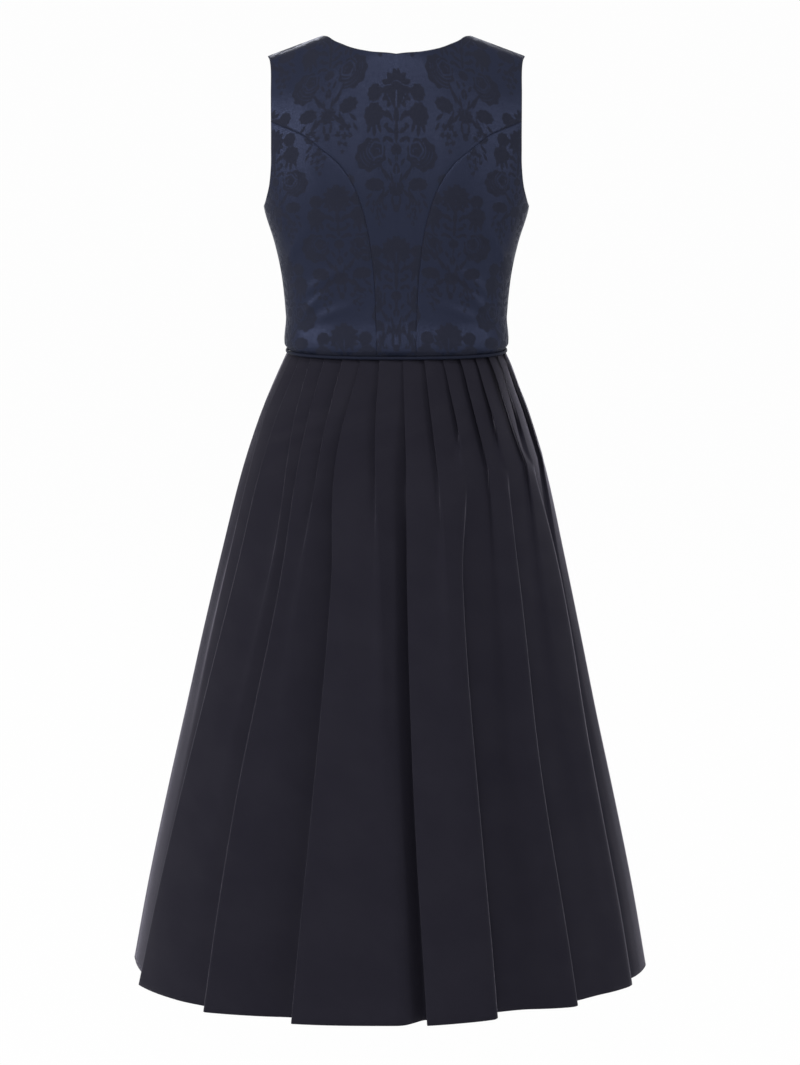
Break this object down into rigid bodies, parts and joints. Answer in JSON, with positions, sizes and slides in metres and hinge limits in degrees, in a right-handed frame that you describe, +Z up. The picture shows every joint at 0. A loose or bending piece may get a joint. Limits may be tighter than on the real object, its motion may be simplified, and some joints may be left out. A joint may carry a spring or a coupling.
{
  "type": "sleeveless dirndl dress",
  "caption": "Sleeveless dirndl dress with a fitted, buttoned floral brocade bodice and a pleated midi skirt, filled out as if worn, hollow inside.",
  "frame": {"origin": "midway between the two top corners of the neckline, at the shoulders that carry the dress", "axes": "+Z up along the body, -Y the way the wearer faces, +X to the wearer's left"},
  "size_m": [0.6308, 0.5026, 1.1239],
  "materials": {
    "navy_brocade": "satin floral damask, dull motif on a brighter ground",
    "navy_skirt_cloth": "matt plain weave",
    "navy_button_cloth": "satin, stretched over a button",
    "navy_piping_cloth": "satin, rolled round a cord"
  },
  "bodies": {
    "root": {"back_centre": "navy_brocade", "back_side_left": "navy_brocade", "back_side_right": "navy_brocade", "front_side_left": "navy_brocade", "front_side_right": "navy_brocade", "front_centre_left": "navy_brocade", "front_centre_right": "navy_brocade", "waist_piping": "navy_piping_cloth", "skirt_back": "navy_skirt_cloth", "skirt_front": "navy_skirt_cloth", "button_1": "navy_button_cloth", "button_2": "navy_button_cloth", "button_3": "navy_button_cloth", "button_4": "navy_button_cloth", "button_5": "navy_button_cloth", "button_6": "navy_button_cloth", "button_7": "navy_button_cloth", "button_8": "navy_button_cloth"}
  },
  "joints": []
}
